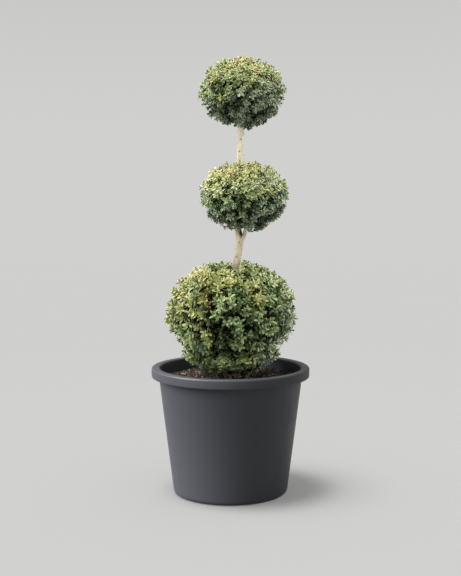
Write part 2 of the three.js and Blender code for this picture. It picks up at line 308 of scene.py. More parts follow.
def smoothLine(stations, steps):
    # centripetal curve through the stations, with the radius in the fourth column
    p = np.vstack([2 * stations[0] - stations[1], stations, 2 * stations[-1] - stations[-2]])
    line = []
    for t in np.linspace(0, len(stations) - 1, steps + 1):
        i = min(int(t), len(stations) - 2)
        x0, x1, x2, x3 = (p[i + k, :3] for k in range(4))
        d0, d1, d2 = (np.linalg.norm(b - a) ** 0.5 for a, b in ((x0, x1), (x1, x2), (x2, x3)))
        m1 = ((x1 - x0) / d0 - (x2 - x0) / (d0 + d1) + (x2 - x1) / d1) * d1
        m2 = ((x2 - x1) / d1 - (x3 - x1) / (d1 + d2) + (x3 - x2) / d2) * d1
        s = t - i
        place = x1 + m1 * s + (3 * (x2 - x1) - 2 * m1 - m2) * s ** 2 + (2 * (x1 - x2) + m1 + m2) * s ** 3
        line.append((*place, stations[i, 3] * (1 - s) + stations[i + 1, 3] * s))
    return np.array(line)


def stemStations(index):
    angle = basalStems["firstAngle"] + fullTurn * index / basalStems["count"]
    out = np.array([math.cos(angle), math.sin(angle)])
    lean, rise, radius, tip = (basalStems[key] for key in ("lean", "rise", "radius", "tipRadius"))
    rows = []
    for push, up, girth in ((0, 0, radius), (lean / 3, rise / 2, (radius + tip) / 2), (lean, rise, tip)):
        spot = trunk["stations"][0, :2] + out * (basalStems["footRadius"] + push)
        rows.append((*spot, soilTop + up, girth))
    return np.array(rows)


def limbMesh(line, sides, seed):
    # long flutes, short ridges and a soft swelling at each leaf joint
    z = line[:, 2][:, None]
    t = ringAngles(sides)[None, :]
    flute = bark["flute"] * np.sin(3 * t + 9 * z + seed) * np.sin(2 * t - 14 * z)
    ridge = bark["ridge"] * np.sin(9 * t + 40 * z + 2 * np.sin(55 * z + seed)) * np.sin(70 * z + 3 * t)
    fromJoint = np.mod(z + bark["beadSway"] * np.sin(t + seed), bark["beadEvery"]) - bark["beadEvery"] / 2
    bead = bark["bead"] * np.exp(-(fromJoint / bark["beadHalf"]) ** 2)
    tip = np.sqrt(np.clip((line[-1, 2] - z) / line[-1, 3], 1e-4, 1))  # rounded off
    reach = line[:, 3][:, None] * (1 + flute + ridge + bead - bark["sink"]) * tip
    x, y = line[:, 0][:, None] + reach * np.cos(t), line[:, 1][:, None] + reach * np.sin(t)
    return np.stack([x, y, z + 0 * t], -1).reshape(-1, 3), ringQuads(len(line), sides)


def knotMesh(line, rng):
    # low domes where side shoots were rubbed off: pairs front and back, then left and right
    across = ringAngles(knots["sides"])
    quads = ringQuads(len(knots["rings"]), knots["sides"])
    every = knots["every"]
    domes = []
    for row, z in enumerate(np.arange(line[0, 2] + every, line[-1, 2] - every, every)):
        x, y, radius = (np.interp(z, line[:, 2], line[:, k]) for k in (0, 1, 3))
        size = 1 if row % 2 == 0 else knots["sideShare"]
        for half in (0, math.pi):
            turn = row * quarter + half - quarter + rng.normal(0, knots["turnSpread"])
            high = z + rng.normal(0, every / knots["shiftShare"])
            wide = knots["halfWidth"] * size * rng.uniform(*knots["widths"])
            tall = knots["halfHeight"] * size * rng.uniform(*knots["heights"])
            rings = []
            for share, rise in knots["rings"]:
                angle = turn + share * wide / radius * np.cos(across)
                out = radius + rise * knots["rise"]
                up = high + share * tall * np.sin(across)
                rings.append(np.stack([x + out * np.cos(angle), y + out * np.sin(angle), up], -1))
            domes.append((np.vstack(rings), quads))
    return joined(domes)


def barkMaterial(name, pale, tan):
    material, tree, shader = newMaterial(name, pale, bark["roughness"], bark["specular"])
    place = objectPlace(tree)
    stretch = addNode(tree, "ShaderNodeMapping", Scale=bark["stretch"])
    tree.links.new(place, stretch.inputs["Vector"])
    streak = addNoise(tree, stretch.outputs["Vector"], bark["streakScale"], 6.0, 0.62)
    light = tuple(min(1, c * bark["lighten"]) for c in pale)
    tone = addRamp(tree, streak, list(zip(bark["streakStops"], (tan, pale, light))))
    fleck = addNoise(tree, place, bark["fleckScale"], 3.0)
    scars = addRamp(tree, fleck, list(zip(bark["fleckStops"], ((0, 0, 0), (1, 1, 1)))))
    tone = mixColors(tree, scars, tone, (*bark["scar"], 1))
    tone = mixColors(tree, 1, tone, addRamp(tree, heightOf(tree, place), bark["age"]), "MULTIPLY")
    # painted shade where the limbs part, darkening the bark in the crotch
    apart = distanceTo(tree, place, bark["crotch"])
    near = addRange(tree, apart, *bark["crotchShadeReach"], 1.0, 0.0, "SMOOTHSTEP")
    tree.links.new(mixColors(tree, near, tone, (*bark["crotchShade"], 1)), shader.inputs["Base Color"])
    addBump(tree, shader, streak, bark["streakStrength"], bark["streakDepth"])
    return material


def knotMaterial():
    material = grainMaterial("knot", knots["young"], knots["specular"], knots["finish"])
    tree = material.node_tree
    stops = list(zip(knots["change"], (knots["old"], knots["young"])))
    tone = addRamp(tree, heightOf(tree, objectPlace(tree)), stops)
    tree.links.new(tone, tree.nodes["Principled BSDF"].inputs["Base Color"])
    return material


trunkLine = smoothLine(trunk["stations"], trunk["steps"])
trunkLine[:, 3] += trunk["rootFlare"] * np.exp((soilTop - trunkLine[:, 2]) / trunk["flareFade"])
boughLine = smoothLine(forkBough["stations"], forkBough["steps"])
stemLines = [smoothLine(stemStations(i), basalStems["steps"]) for i in range(basalStems["count"])]
limbLines = [trunkLine, boughLine, *stemLines]

barkMat = barkMaterial("paleBark", bark["pale"], bark["tan"])
points, faces = limbMesh(trunkLine, trunk["sides"], trunk["seed"])
fitTo(meshPiece("trunk_bark", points, faces, [barkMat]), "bark", "trunk")
points, faces = knotMesh(trunkLine, np.random.default_rng(knots["seed"]))
fitTo(meshPiece("trunk_knots", points, faces, [knotMaterial()]), "bark", "trunk")
points, faces = limbMesh(boughLine, forkBough["sides"], forkBough["seed"])
fitTo(meshPiece("bough_bark", points, faces, [barkMat]), "bark", "fork_bough")
points, faces = joined([limbMesh(line, basalStems["sides"], i) for i, line in enumerate(stemLines)])
stemMat = barkMaterial("basalBark", basalStems["pale"], basalStems["tan"])
stemNodes = [f"basal_stem_{i + 1}" for i in range(basalStems["count"])]
fitTo(meshPiece("basal_bark", points, faces, [stemMat]), "bark", *stemNodes)
print("limbs done")


# the compost: a lumpy surface with loose crumbs and chips on it
soil = {
    "plateau": soilTop, "plateauRadius": 0.105, "edge": 0.291, "edgeGap": 0.0002, "middleGap": 0.0005,
    "lumps": (0.0016, 0.0011, 0.0008), "sink": 0.0012, "rings": 110, "turns": 220, "seed": 5,
    # the darkest tint is painted shade for the low spots of the compost's relief
    "hollowShade": srgb(30, 24, 19),
    "tints": {"dark": srgb(50, 44, 37), "brown": srgb(80, 71, 60),
              "tan": srgb(114, 104, 90), "straw": srgb(152, 141, 122)},
    "shares": [0.4, 0.34, 0.2, 0.06],  # of the crumbs, tint by tint
    "stops": (0.3, 0.48, 0.6, 0.74), "clodScale": 180.0, "clodStrength": 0.9, "clodDepth": 0.004,
    "roughness": 0.95, "specular": 0.2,
    "crumbs": 5200, "crumbMargin": 0.004, "crumbSize": (0.0008, 0.0028, 2.6),  # least, more, how rare
    "crumbSeat": (-0.3, 0.5), "crumbShape": (0.45, 1.5), "crumbCorners": (0.75, 1.2),
    "finish": {"scale": 900.0, "strength": 0.6, "depth": 0.0008, "roughness": (0.85, 0.98)},
}
edgeRadius = potInner(soil["edge"]) - soil["edgeGap"]


def soilHeight(x, y):
    inner = potInner(soil["edge"])
    share = np.clip((inner - np.hypot(x, y)) / (inner - soil["plateauRadius"]), 0, 1)
    base = soil["edge"] + (soil["plateau"] - soil["edge"]) * share
    large, middling, small = soil["lumps"]
    lump = large * np.sin(61 * x + 1.3) * np.cos(53 * y)
    lump += middling * np.sin(131 * x - 90 * y)
    lump += small * np.sin(260 * y + 170 * x)
    return base + lump - soil["sink"]


def bedMesh():
    radii = np.linspace(soil["middleGap"], edgeRadius, soil["rings"])
    r, t = np.meshgrid(radii, ringAngles(soil["turns"]), indexing="ij")
    x, y = r * np.cos(t), r * np.sin(t)
    quads = ringQuads(soil["rings"], soil["turns"])[:, [0, 3, 2, 1]]  # facing up
    return np.stack([x, y, soilHeight(x, y)], -1).reshape(-1, 3), quads


def icosahedron():
    gold = (1 + 5 ** 0.5) / 2
    pairs = [(s, t * gold) for s in (-1, 1) for t in (-1, 1)]
    corners = [(0, s, t) for s, t in pairs] + [(s, t, 0) for s, t in pairs] + [(t, 0, s) for s, t in pairs]
    corners = unit(np.array(corners, float))
    longest = 1.1  # a little more than one edge
    faces = []
    for p, q, r in itertools.combinations(range(len(corners)), 3):
        a, b, c = corners[[p, q, r]]
        if max(np.linalg.norm(a - b), np.linalg.norm(b - c), np.linalg.norm(c - a)) < longest:
            outward = np.dot(np.cross(b - a, c - a), a) > 0
            faces.append((p, q, r) if outward else (p, r, q))
    return corners, np.array(faces)


def crumbMesh(rng):
    corners, faces = icosahedron()
    count = soil["crumbs"]
    radius = np.sqrt(rng.uniform(0, 1, count)) * (edgeRadius - soil["crumbMargin"])
    turn = rng.uniform(0, fullTurn, count)
    x, y = radius * np.cos(turn), radius * np.sin(turn)
    least, more, rarity = soil["crumbSize"]
    size = least + more * rng.uniform(0, 1, count) ** rarity
    spots = np.stack([x, y, soilHeight(x, y) + size * rng.uniform(*soil["crumbSeat"], count)], -1)
    stretch = rng.uniform(*soil["crumbShape"], (count, 1, 3))
    stretch = stretch * rng.uniform(*soil["crumbCorners"], (count, len(corners), 1))
    points = spots[:, None] + corners[None] * stretch * size[:, None, None]
    triangles = faces[None] + len(corners) * np.arange(count)[:, None, None]
    tints = rng.choice(len(soil["shares"]), count, p=soil["shares"])
    return points.reshape(-1, 3), triangles.reshape(-1, 3), np.repeat(tints, len(faces))


def compostMaterial():
    tints = soil["tints"]
    material, tree, shader = newMaterial("compost", tints["brown"], soil["roughness"], soil["specular"])
    clods = addNoise(tree, objectPlace(tree), soil["clodScale"], 8.0, 0.7)
    # one noise sets both colour and relief, so the darkest colour lies in the hollows as painted shade
    colors = (soil["hollowShade"], tints["dark"], tints["brown"], tints["tan"])
    tone = addRamp(tree, clods, list(zip(soil["stops"], colors)))
    tree.links.new(tone, shader.inputs["Base Color"])
    addBump(tree, shader, clods, soil["clodStrength"], soil["clodDepth"])
    return material


points, faces = bedMesh()
fitTo(meshPiece("compost_bed", points, faces, [compostMaterial()]), "compost", "soil")
points, faces, tints = crumbMesh(np.random.default_rng(soil["seed"]))
crumbMats = [
    grainMaterial("crumb_" + name, color, soil["specular"], soil["finish"])
    for name, color in soil["tints"].items()]
fitTo(meshPiece("compost_crumbs", points, faces, crumbMats, tints, False), "compost", "soil")
print("compost done")


# the foliage: each ball keeps to the same outline as the solid, by the same rule
# hollows are a share of the clumps and a depth, shoots are counted layer by layer
# tone runs from the middle by height above (rise: painted light on the top, partly paler new growth) and
# below (shade: painted shade underneath, turned to painted light where the value is negative), to the sides
# (rim: painted light) and inwards (painted shade)
# warmth is at the middle, by height and to the right, and hueSteps part the families of tints
smallBall = {
    "leaf": 0.0114, "leafWidth": 0.5, "clumps": 110, "hollows": (0.05, 0.9), "shoots": (640, 600, 340),
    "boughs": 20, "twigs": 110,
    "rim": 0.0, "innerShade": 0.2, "warmth": (0.33, 0.55, -0.12), "hueSteps": (0.34, 0.62, 0.81),
}
balls = {
    "lower_ball": {
        "centre": (0.002, 0, 0.461), "halfWidth": 0.171, "upperHeight": 0.14, "lowerHeight": 0.119,
        "lowerPower": 2.5, "seed": 11, "leafSeed": 1111,
        "dip": {"side": 1, "x": 0.01, "y": -0.028, "halfWidth": 0.012, "halfDepth": 0.046, "drop": 0.025},
        "foot": {"topRadius": 0.136, "top": 0.354, "bottomRadius": 0.062, "bottom": 0.303},
        # the foot sprays get painted shade lower down, under the ball
        "footShoots": 270, "footTwigs": 24, "footPaintedShade": 0.3,
        "leaf": 0.0152, "leafWidth": 0.43, "clumps": 150, "hollows": (0.1, 1.2), "shoots": (860, 860, 560),
        "boughs": 34, "twigs": 190,
        "tone": 0.39, "rise": 0.38, "shade": -0.18, "rim": 0.26, "innerShade": 0.25,
        "warmth": (0.42, 0.38, -0.34), "hueSteps": (0.06, 0.6, 0.95),
    },
    "middle_ball": {
        **smallBall, "centre": (0.034, 0, 0.754), "halfWidth": 0.117, "upperHeight": 0.094,
        "lowerHeight": 0.102, "lowerPower": 1.85, "seed": 23, "leafSeed": 123,
        "dip": {"side": -1, "x": 0.012, "y": 0, "halfWidth": 0.026, "halfDepth": 0.05, "drop": 0.009},
        "tone": 0.62, "rise": 1.2, "shade": 0.25,
    },
    "upper_ball": {
        **smallBall, "centre": (0.0285, 0, 1.01), "halfWidth": 0.116, "upperHeight": 0.09,
        "lowerHeight": 0.1, "lowerPower": 1.75, "seed": 37, "leafSeed": 537,
        "dip": {"side": -1, "x": 0.01, "y": 0, "halfWidth": 0.026, "halfDepth": 0.05, "drop": 0.009},
        "tone": 0.77, "rise": 0.16, "shade": 0.46,
    },
}
foliage = {
    "outlineLump": 0.022, "lumpWaves": (4.1, 4.7, 2.3), "fineLump": 0.014, "fineWaves": (13, 12, 15, 9),
    # least and most depth in leaf lengths, leaf pairs, for each layer of shoots
    "layers": ((0.42, 0.66, 7), (1.7, 2.7, 5), (2.9, 4.4, 4)),
    "clumpWobble": 1.1, "clumpRise": (0.05, 0.25), "clumpDrop": 0.6, "hollowsBelow": 0.25,
    "shootWobble": 1.0, "shootLength": (2.4, 3.2), "splay": 0.9, "upturn": 0.2, "stray": 0.2,
    "openGaps": 0.2, "lowGaps": 0.4, "gapsBelow": 0.6, "gapsFrom": 0.45,
    "footBend": 0.8, "footDepth": (0.5, 2.3), "footUpturn": 0.3, "footStray": 0.3, "footPairs": 6,
    # clear of limbs and compost
    "clearTip": 0.002, "clearEnd": 0.0015, "clearMiddle": 0.003, "clearSoil": 0.002,
    # spread of tone and warmth from clump to clump, shoot to shoot and leaf to leaf
    "clumpTone": 0.06, "clumpWarmth": 0.13, "shootTone": 0.075, "shootWarmth": 0.13, "leafTone": 0.045,
    "toneDepth": 0.7,  # in leaf lengths, shoots deeper than this are darker, a painted shade
    "leafTurn": 0.16, "leafBend": 0.15, "leafKept": 0.95, "leafSizes": (0.82, 1.16), "leafStand": 0.0004,
    "lift": 0.4, "roll": 0.25, "curls": (0.4, 2.4), "widths": (0.86, 1.14),
    # tints from shade to tip, for sprays that lean to bronze, to olive, to fresh green or to blue-green
    "tints": {
        "bronze": [(33, 32, 12), (89, 86, 41), (131, 126, 70),
                   (158, 153, 96), (171, 165, 108), (182, 175, 122)],
        "moss": [(30, 33, 11), (79, 86, 35), (119, 126, 62),
                 (148, 154, 90), (160, 164, 102), (171, 173, 115)],
        "green": [(23, 31, 12), (64, 78, 41), (94, 112, 68),
                  (124, 141, 92), (144, 157, 99), (159, 169, 116)],
        "sage": [(23, 28, 15), (60, 71, 46), (88, 102, 75),
                 (116, 129, 101), (140, 151, 115), (156, 166, 131)],
    },
    "toneSteps": [0.14, 0.3, 0.46, 0.63, 0.82], "specular": [0.12, 0.2, 0.28, 0.32, 0.34, 0.34],
    "tan": (150, 136, 100), "tanShare": 0.008, "tanPairs": (2, 3), "tanSpecular": 0.2,
    "finish": {"scale": 700.0, "strength": 0.25, "depth": 0.0005, "roughness": (0.4, 0.55)},
}
wood = {
    "wobble": 0.8, "boughReach": (0.42, 0.58), "twigReach": (0.64, 0.76), "climb": 0.35, "climbWeight": 2,
    "skipSteps": 4,  # no bough from the very foot of a limb
    "boughGirth": (0.0026, 0.0019), "boughSides": 6, "twigGirth": (0.0018, 0.0013), "twigSides": 5,
    "shootGirth": (0.0011, 0.0008, 0.0005), "shootSteps": 5, "shootEnd": 1.55,
    "footGirth": (0.0017, 0.001), "footRise": (0.35, 0.8), "footInset": (0.008, 0.026),
    "footSpread": (0.7, 0.98), "footStray": 0.006, "footSunk": 0.003,
    "twigPale": srgb(144, 134, 112), "twigTan": srgb(106, 96, 78), "shootColor": srgb(88, 94, 50),
    "shootSpecular": 0.3,
    "shootFinish": {"scale": 500.0, "strength": 0.4, "depth": 0.0008, "roughness": (0.5, 0.7)},
}


def footReach(ball, across, down):
    foot = ball["foot"]
    slope = (foot["topRadius"] - foot["bottomRadius"]) / (foot["top"] - foot["bottom"])
    height = ball["centre"][2] - foot["bottom"]
    side = (foot["bottomRadius"] + slope * height) / np.maximum(across + slope * down, 1e-6)
    met = (down > 0) & (side * down >= ball["centre"][2] - foot["top"])
    return np.where(met, np.minimum(side, height / np.maximum(down, 1e-6)), 0)


def outlineReach(ball, way):
    x, y, z = way.T
    seed, dip = ball["seed"], ball["dip"]
    across = np.hypot(x, y)
    height = np.where(z < 0, ball["lowerHeight"], ball["upperHeight"])
    power = np.where(z < 0, ball["lowerPower"], 2)
    reach = ((across / ball["halfWidth"]) ** power + (np.abs(z) / height) ** power) ** (-1 / power)
    if "foot" in ball:
        reach = np.maximum(reach, footReach(ball, across, -z))
    a, b, c = foliage["lumpWaves"]
    uneven = np.sin(a * x + seed) + np.sin(b * y - c * z + 2 * seed)
    a, b, c, d = foliage["fineWaves"]
    fine = np.sin(a * x + 2 * seed) * np.sin(b * y) + np.sin(c * z + d * x)
    reach = reach * (1 + foliage["outlineLump"] * uneven / 2 + foliage["fineLump"] * (fine / 2 - 0.5))
    dx = (ball["centre"][0] + x * reach - dip["x"]) / dip["halfWidth"]
    dy = (ball["centre"][1] + y * reach - dip["y"]) / dip["halfDepth"]
    return reach - np.where(z * dip["side"] > 0, dip["drop"] * np.exp(-dx * dx - dy * dy), 0)


def isInside(ball, points):
    way = points - np.array(ball["centre"])
    far = np.linalg.norm(way, axis=1)
    return far <= outlineReach(ball, way / far[:, None])


def isFree(points, margin):
    # clear of every limb and of the compost
    z = points[:, 2]
    free = z > soilTop + foliage["clearSoil"]
    for line in limbLines:
        x, y, radius = (np.interp(z, line[:, 2], line[:, k]) for k in (0, 1, 3))
        gap = np.hypot(points[:, 0] - x, points[:, 1] - y)
        free &= ~((gap < radius + margin) & (z < line[-1, 2] + margin) & (z > line[0, 2] - margin))
    return free


def evenWays(count, rng, wobble):
    # directions spread evenly over a ball, then shaken a little
    i = np.arange(count)
    up = 1 - 2 * (i + 0.5) / count
    across = np.sqrt(1 - up * up)
    turn = math.pi * (3 - math.sqrt(5)) * i + rng.uniform(0, 6.28)
    ways = np.stack([across * np.cos(turn), across * np.sin(turn), up], -1)
    return unit(ways + rng.normal(0, wobble / math.sqrt(count), (count, 3)))


def footCone(ball, rise):
    # radius and height of the foot's side at a share of its rise
    foot = ball["foot"]
    radius = foot["bottomRadius"] + (foot["topRadius"] - foot["bottomRadius"]) * rise
    return radius, foot["bottom"] + rise * (foot["top"] - foot["bottom"])


def tubes(starts, ends, startRadius, endRadius, sides=4):
    # open tapered tubes, one per row
    count = len(starts)
    axis = unit(ends - starts)
    side = unit(np.cross(axis, np.array([0.31, 0.87, 0.38])))
    other = np.cross(axis, side)
    turns = ringAngles(sides)
    ring = side[:, None] * np.cos(turns)[None, :, None] + other[:, None] * np.sin(turns)[None, :, None]
    points = np.concatenate([starts[:, None] + ring * startRadius, ends[:, None] + ring * endRadius], 1)
    faces = ringQuads(2, sides)[None] + (2 * sides * np.arange(count))[:, None, None]
    return points.reshape(-1, 3), faces.reshape(-1, 4)


# one leaf: along, across and out of the blade, as shares of length and width; plainer ones inside
leafPoints = np.array([
    (0, 0, 0), (0.3, 0, 0.035), (0.64, 0, 0.035), (1, 0, -0.05),
    (0.1, 0.2, -0.005), (0.31, 0.43, -0.015), (0.6, 0.5, -0.025), (0.86, 0.31, -0.05),
    (0.1, -0.2, -0.005), (0.31, -0.43, -0.015), (0.6, -0.5, -0.025), (0.86, -0.31, -0.05)])
leafFaces = np.array([
    (0, 1, 4), (1, 5, 4), (1, 2, 5), (2, 6, 5), (2, 7, 6), (2, 3, 7),
    (0, 8, 1), (1, 8, 9), (1, 9, 2), (2, 9, 10), (2, 10, 11), (2, 11, 3)])
innerPoints = np.array([
    (0, 0, 0), (0.5, 0, 0.04), (1, 0, -0.04),
    (0.28, 0.42, -0.01), (0.74, 0.42, -0.04), (0.28, -0.42, -0.01), (0.74, -0.42, -0.04)])
innerFaces = np.array([(0, 1, 3), (1, 4, 3), (1, 2, 4), (0, 5, 1), (1, 5, 6), (1, 6, 2)])
# pairs down a shoot: distance below its tip and size in leaf lengths, bend from the shoot in degrees, tone
leafPairs = [
    (0.0, 0.45, 18, 0.14), (0.1, 0.74, 38, 0.1), (0.28, 0.95, 54, 0.05), (0.52, 1.0, 63, 0.0),
    (0.82, 1.0, 68, -0.06), (1.15, 0.95, 70, -0.12), (1.5, 0.9, 72, -0.16)]


def layerShoots(ball, layer, clumpWay, clumpRise, rng):
    # tips in small domed clumps, at this layer's depth inside the outline
    count = ball["shoots"][layer]
    near, far, pairs = foliage["layers"][layer]
    way = evenWays(count, rng, foliage["shootWobble"])
    nearness = way @ clumpWay.T
    clump = np.argmax(nearness, axis=1)
    clumpSize = math.sqrt(4 * math.pi / ball["clumps"]) / 2
    aside = np.arccos(np.clip(nearness[np.arange(count), clump], -1, 1)) / clumpSize
    depth = rng.uniform(near, far, count)
    if layer == 0:
        depth += foliage["clumpDrop"] * aside ** 2 + np.maximum(clumpRise[clump], 0)
    tip = np.array(ball["centre"]) + way * (outlineReach(ball, way) - ball["leaf"] * depth)[:, None]
    lean = way + foliage["splay"] * (way - clumpWay[clump]) + np.array([0, 0, foliage["upturn"]])
    axis = unit(lean + rng.normal(0, foliage["stray"], (count, 3)))
    gaps = foliage["openGaps"] + foliage["lowGaps"] * np.clip(foliage["gapsBelow"] - way[:, 2], 0, 1)
    edge = np.clip(aside - foliage["gapsFrom"], 0, 1) / (1 - foliage["gapsFrom"])
    keep = (layer > 0) | (rng.uniform(0, 1, count) > gaps * edge)
    shoots = {
        "tip": tip, "axis": axis, "depth": depth, "pairs": np.full(count, pairs), "clump": clump,
        "layer": np.full(count, layer), "paintedShade": np.zeros(count)}
    return {key: value[keep] for key, value in shoots.items()}


def footShoots(ball, clumpWay, rng):
    # loose sprays that lean out round the foot, with painted shade lower down, under the ball
    centre = np.array(ball["centre"])
    count = ball["footShoots"]
    turn = rng.uniform(0, fullTurn, count)
    rise = rng.uniform(0, 1, count) ** foliage["footBend"]
    out = np.stack([np.cos(turn), np.sin(turn), np.zeros(count)], -1)
    depth = rng.uniform(*foliage["footDepth"], count)
    radius, height = footCone(ball, rise)
    tip = np.array([*centre[:2], 0]) + out * (radius - ball["leaf"] * depth)[:, None]
    tip[:, 2] = height
    lean = out + np.array([0, 0, foliage["footUpturn"]])
    axis = unit(lean + rng.normal(0, foliage["footStray"], (count, 3)))
    return {
        "tip": tip, "axis": axis, "depth": depth, "pairs": np.full(count, foliage["footPairs"]),
        "clump": np.argmax(unit(tip - centre) @ clumpWay.T, axis=1),
        "layer": np.zeros(count, int), "paintedShade": ball["footPaintedShade"] * (1 - rise)}


def placeShoots(ball, rng):
    # in layers from the outline inwards, with some clumps sunk to hollows
    clumpWay = evenWays(ball["clumps"], rng, foliage["clumpWobble"])
    clumpRise = rng.normal(*foliage["clumpRise"], ball["clumps"])
    share, drop = ball["hollows"]
    hollow = (rng.uniform(0, 1, ball["clumps"]) < share) & (clumpWay[:, 2] < foliage["hollowsBelow"])
    clumpRise[hollow] = drop
    groups = [layerShoots(ball, layer, clumpWay, clumpRise, rng) for layer in range(len(foliage["layers"]))]
    if "foot" in ball:
        groups.append(footShoots(ball, clumpWay, rng))
    shoots = {key: np.concatenate([group[key] for group in groups]) for key in groups[0]}
    length = ball["leaf"] * rng.uniform(*foliage["shootLength"], len(shoots["tip"]))
    shoots["foot"] = shoots["tip"] - shoots["axis"] * length[:, None]
    free = isFree(shoots["tip"], foliage["clearTip"]) & isFree(shoots["foot"], 0.0)
    return {key: value[free] for key, value in shoots.items()}


def dealTones(ball, shoots, rng):
    # lighter and yellower up and to the left, darker inside; the tone by place is painted light and shade,
    # the lighter tops partly paler new growth
    count = len(shoots["tip"])
    height = (shoots["tip"][:, 2] - ball["centre"][2]) / ball["upperHeight"]
    across = (shoots["tip"][:, 0] - ball["centre"][0]) / ball["halfWidth"]
    clumpTone = rng.normal(0, foliage["clumpTone"], ball["clumps"])[shoots["clump"]]
    clumpWarmth = rng.normal(0, foliage["clumpWarmth"], ball["clumps"])[shoots["clump"]]
    # painted light on the top (partly paler new growth) and on the sides, painted shade with depth, and
    # below the middle painted shade, turned to painted light where shade is negative
    tone = ball["tone"] + np.where(height > 0, ball["rise"], ball["shade"]) * height
    tone += ball["rim"] * across ** 2 - ball["innerShade"] * (shoots["depth"] - foliage["toneDepth"])
    # painted shade taken off the low foot sprays
    tone += clumpTone - shoots["paintedShade"] + rng.normal(0, foliage["shootTone"], count)
    base, climb, side = ball["warmth"]
    warmth = base + climb * height + side * across + clumpWarmth
    warmth += rng.normal(0, foliage["shootWarmth"], count)
    dry = rng.uniform(0, 1, count) < foliage["tanShare"]
    return tone, warmth, dry


def growLeaves(ball, shoots, tone, warmth, dry, rng):
    # pairs of leaves down each shoot, each pair across the one above
    leaf = ball["leaf"]
    tips, axes = shoots["tip"], shoots["axis"]
    total = len(tips)
    spin = rng.uniform(0, fullTurn, total)
    side = unit(np.cross(axes, np.array([0.2, 0.1, 0.97])))
    other = np.cross(axes, side)
    rows = []
    for row, (below, size, bend, rowTone) in enumerate(leafPairs):
        for half in (0, math.pi):
            turn = spin + row * quarter + half + rng.normal(0, foliage["leafTurn"], total)
            out = side * np.cos(turn)[:, None] + other * np.sin(turn)[:, None]
            angle = np.radians(bend) + rng.normal(0, foliage["leafBend"], total)
            keep = (shoots["pairs"] > row) & (rng.uniform(0, 1, total) < foliage["leafKept"])
            values = {
                "place": tips - axes * (below * leaf) + out * foliage["leafStand"],
                "way": axes * np.cos(angle)[:, None] + out * np.sin(angle)[:, None],
                "face": axes * np.sin(angle)[:, None] - out * np.cos(angle)[:, None],
                "size": leaf * size * rng.uniform(*foliage["leafSizes"], total),
                "tone": tone + rowTone + rng.normal(0, foliage["leafTone"], total),
                "warmth": warmth, "dry": dry & (row in foliage["tanPairs"]), "layer": shoots["layer"]}
            rows.append({key: value[keep] for key, value in values.items()})
    blades = {key: np.concatenate([row[key] for row in rows]) for key in rows[0]}
    ends = blades["place"] + blades["way"] * blades["size"][:, None]
    middles = (blades["place"] + ends) / 2
    keep = isInside(ball, ends)
    keep &= isFree(ends, foliage["clearEnd"]) & isFree(middles, foliage["clearMiddle"])
    return {key: value[keep] for key, value in blades.items()}


def leafMesh(ball, blades, outline, faces, rng):
    # upper faces turn a little to the light, with some roll, curl and fold each
    way = blades["way"]
    face = blades["face"] + np.array([0, 0, foliage["lift"]])
    face = unit(face - way * np.sum(face * way, axis=1)[:, None])
    count = len(way)
    roll = rng.normal(0, foliage["roll"], count)
    blade = np.cross(face, way)
    face, blade = (face * np.cos(roll)[:, None] + blade * np.sin(roll)[:, None],
                   blade * np.cos(roll)[:, None] - face * np.sin(roll)[:, None])
    shape = np.repeat(outline[None], count, 0)
    shape[:, :, 2] *= rng.uniform(*foliage["curls"], count)[:, None]
    shape[:, :, 1] *= (ball["leafWidth"] * rng.uniform(*foliage["widths"], count))[:, None]
    points = blades["place"][:, None] + blades["size"][:, None, None] * (
        shape[:, :, :1] * way[:, None] + shape[:, :, 1:2] * blade[:, None] + shape[:, :, 2:] * face[:, None])
    triangles = faces[None] + (len(outline) * np.arange(count))[:, None, None]
    steps = len(foliage["toneSteps"]) + 1
    family = len(ball["hueSteps"]) - np.searchsorted(ball["hueSteps"], blades["warmth"])
    tint = np.searchsorted(foliage["toneSteps"], blades["tone"]) + family * steps
    tint[blades["dry"]] = len(foliage["tints"]) * steps
    return points.reshape(-1, 3), triangles.reshape(-1, 3), np.repeat(tint, len(faces))


def footStems(ball, rng):
    # bare stems out of the compost
    centre, count = np.array(ball["centre"][:2]), ball["footTwigs"]
    turn = rng.uniform(0, fullTurn, count)
    out = np.stack([np.cos(turn), np.sin(turn)], -1)
    radius, height = footCone(ball, rng.uniform(*wood["footRise"], count))
    radius = radius - rng.uniform(*wood["footInset"], count)
    top = np.column_stack([centre + out * radius[:, None], height])
    spread = ball["foot"]["bottomRadius"] * rng.uniform(*wood["footSpread"], count)
    low = centre + out * spread[:, None] + rng.normal(0, wood["footStray"], (count, 2))
    low = np.column_stack([low, np.full(count, soilTop - wood["footSunk"])])
    return tubes(low, top, *wood["footGirth"], wood["twigSides"])


def nearest(spots, others):
    return np.argmin(np.linalg.norm(spots[:, None] - others[None], axis=-1), axis=1)


def growBoughs(ball, rng):
    # boughs climb from the limbs, twigs from the boughs
    ends = []
    for kind in ("bough", "twig"):
        count = ball[kind + "s"]
        way = evenWays(count, rng, wood["wobble"])
        reach = outlineReach(ball, way) * rng.uniform(*wood[kind + "Reach"], count)
        ends.append(np.array(ball["centre"]) + way * reach[:, None])
    boughEnd, twigEnd = ends
    joints = np.vstack([line[wood["skipSteps"]:, :3] for line in limbLines])
    climb = boughEnd[:, None, 2] - joints[None, :, 2]
    span = np.linalg.norm(boughEnd[:, None] - joints[None], axis=-1)
    tooLevel = np.maximum(wood["climb"] * span - climb, 0)
    root = joints[np.argmin(span + wood["climbWeight"] * tooLevel, axis=1)]
    meshes = [
        tubes(root, boughEnd, *wood["boughGirth"], wood["boughSides"]),
        tubes(boughEnd[nearest(twigEnd, boughEnd)], twigEnd, *wood["twigGirth"], wood["twigSides"])]
    if "foot" in ball:
        meshes.append(footStems(ball, rng))
    return joined(meshes), twigEnd


